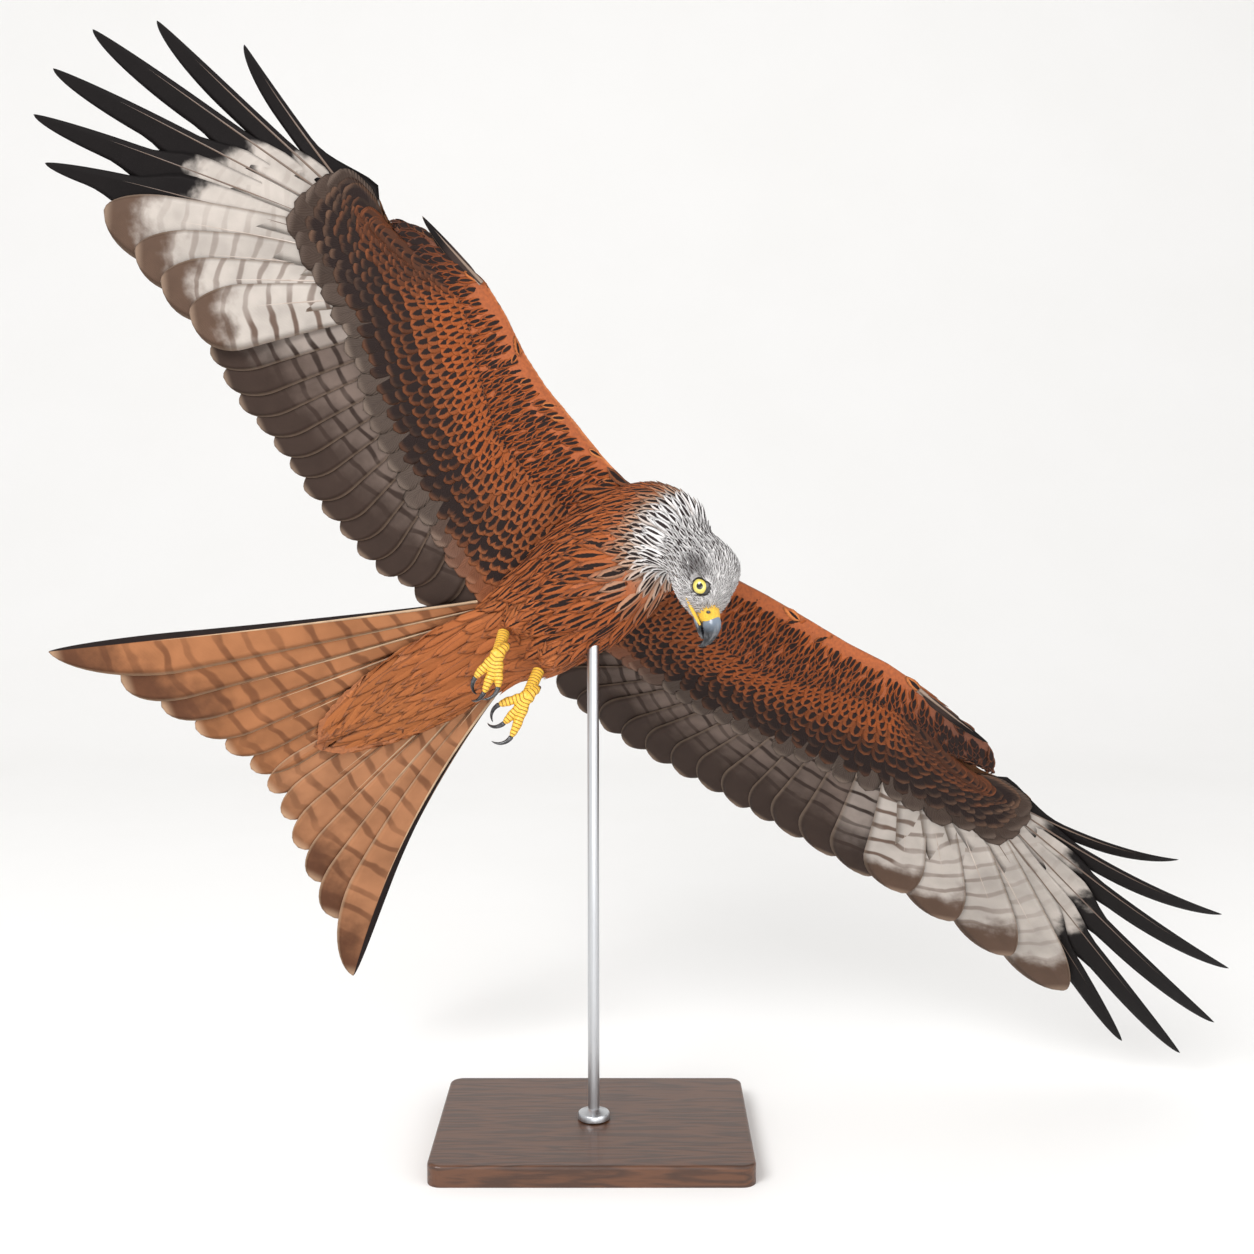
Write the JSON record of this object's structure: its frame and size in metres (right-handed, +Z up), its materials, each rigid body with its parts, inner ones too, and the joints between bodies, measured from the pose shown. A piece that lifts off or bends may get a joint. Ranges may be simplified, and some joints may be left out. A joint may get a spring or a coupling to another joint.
{
  "type": "red kite",
  "caption": "Life-size still model of a red kite banking in flight with fingered wings, forked tail and lowered feet, held on a steel rod over a flat wooden base.",
  "frame": {"origin": "middle of the underside of the stand's base, on the surface that it stands on", "axes": "+Z up; +X to the side that the bird's head and left wing point to; +Y away from the viewer, so the bird's underside faces -Y"},
  "size_m": [1.0759, 0.2901, 0.9753],
  "materials": {
    "head_feathers": "fine matte feathers, grey-white with dark streaks",
    "iris": "glossy pale yellow eye with a black pupil",
    "yellow_skin": "scaly yellow skin",
    "bill_horn": "smooth slate-grey horn, black at the tip",
    "body_feathers": "soft matte feathers, rufous with dark shaft streaks",
    "covert_feathers": "matte feathers, rufous with dark centres",
    "flight_feathers": "smooth matte vanes, barred grey-brown",
    "pale_primaries": "smooth matte vanes, whitish with faint bars",
    "dark_primaries": "smooth matte vanes, blackish",
    "tail_feathers": "smooth matte vanes, rufous with narrow dark bars",
    "claw_horn": "polished black horn",
    "base_wood": "oiled dark wood",
    "rod_steel": "brushed bare steel"
  },
  "bodies": {
    "root": {"head": "head_feathers", "eye_left": "iris", "eye_right": "iris", "cere": "yellow_skin", "bill_upper": "bill_horn", "bill_lower": "bill_horn", "neck": "body_feathers", "trunk": "body_feathers", "tail_base": "body_feathers", "undertail_coverts": "body_feathers", "uppertail_coverts": "body_feathers", "wing_arm_right": "covert_feathers", "secondaries_right": "flight_feathers", "primaries_right": "pale_primaries", "primary_5_right": "dark_primaries", "primary_6_right": "dark_primaries", "primary_7_right": "dark_primaries", "primary_8_right": "dark_primaries", "primary_9_right": "dark_primaries", "primary_10_right": "dark_primaries", "alula_right": "dark_primaries", "wing_arm_left": "covert_feathers", "secondaries_left": "flight_feathers", "primaries_left": "pale_primaries", "primary_5_left": "dark_primaries", "primary_6_left": "dark_primaries", "primary_7_left": "dark_primaries", "primary_8_left": "dark_primaries", "primary_9_left": "dark_primaries", "primary_10_left": "dark_primaries", "alula_left": "dark_primaries", "tail_feather_1_right": "tail_feathers", "tail_feather_2_right": "tail_feathers", "tail_feather_3_right": "tail_feathers", "tail_feather_4_right": "tail_feathers", "tail_feather_5_right": "tail_feathers", "tail_feather_6_right": "tail_feathers", "tail_feather_1_left": "tail_feathers", "tail_feather_2_left": "tail_feathers", "tail_feather_3_left": "tail_feathers", "tail_feather_4_left": "tail_feathers", "tail_feather_5_left": "tail_feathers", "tail_feather_6_left": "tail_feathers", "thigh_right": "body_feathers", "tarsus_right": "yellow_skin", "foot_right": "yellow_skin", "claw_1_right": "claw_horn", "claw_2_right": "claw_horn", "claw_3_right": "claw_horn", "claw_4_right": "claw_horn", "thigh_left": "body_feathers", "tarsus_left": "yellow_skin", "foot_left": "yellow_skin", "claw_1_left": "claw_horn", "claw_2_left": "claw_horn", "claw_3_left": "claw_horn", "claw_4_left": "claw_horn", "stand_base": "base_wood", "stand_rod": "rod_steel"}
  },
  "joints": []
}
